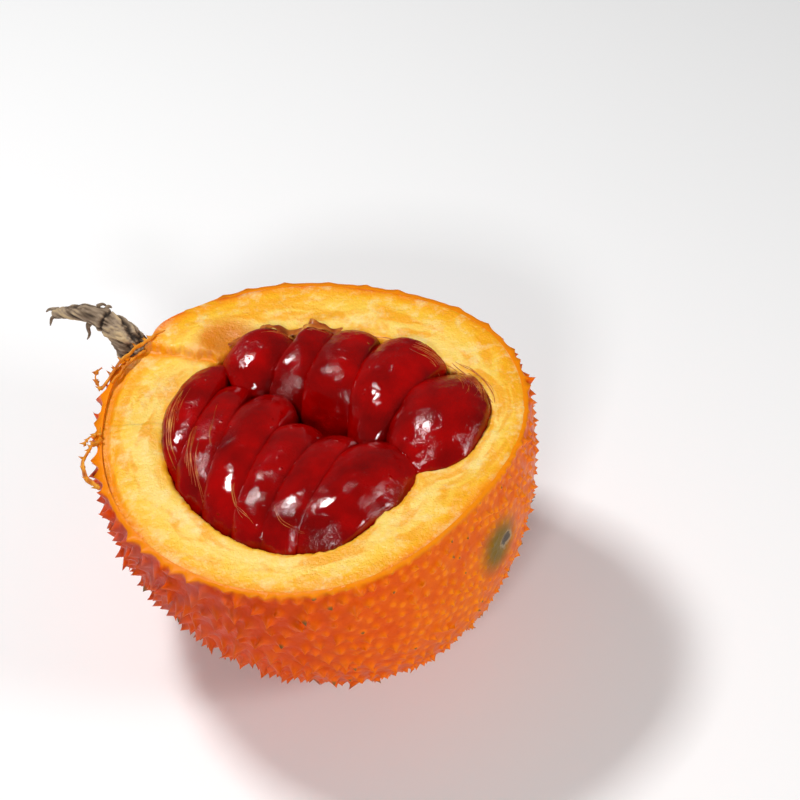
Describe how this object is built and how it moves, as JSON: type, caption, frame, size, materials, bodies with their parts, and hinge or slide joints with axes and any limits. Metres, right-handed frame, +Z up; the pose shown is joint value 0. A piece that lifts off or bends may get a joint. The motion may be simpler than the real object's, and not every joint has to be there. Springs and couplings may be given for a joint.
{
  "type": "cut gac fruit half",
  "caption": "Half of a ripe gac fruit, cut to show red arils in yellow flesh, with a spiky orange rind and a dried stem, resting on its round side.",
  "frame": {"origin": "the point of the flat resting spot straight under the fruit's middle", "axes": "+Z up, square to the resting spot; the fruit's own axis lies level, its blossom end 35 degrees from +X towards -Y and its stem opposite; the cut face looks up and leans 8 degrees towards -X"},
  "size_m": [0.1286, 0.1145, 0.0752],
  "materials": {
    "rind": "waxy ripe orange skin with soft pointed spikes, satin",
    "flesh": "moist cut flesh, golden at the skin and cream towards the cavity",
    "aril": "wet glossy deep red seed arils",
    "membrane": "thin moist orange-brown fibres and films between arils",
    "stem": "dry fibrous grey-brown stalk, matt"
  },
  "bodies": {
    "root": {"husk": "rind", "stem": "stem", "aril_lower_1": "aril", "aril_lower_2": "aril", "aril_lower_3": "aril", "aril_lower_4": "aril", "aril_lower_5": "aril", "aril_lower_6": "aril", "aril_upper_1": "aril", "aril_upper_2": "aril", "aril_upper_3": "aril", "aril_upper_4": "aril", "aril_upper_5": "aril"}
  },
  "joints": []
}
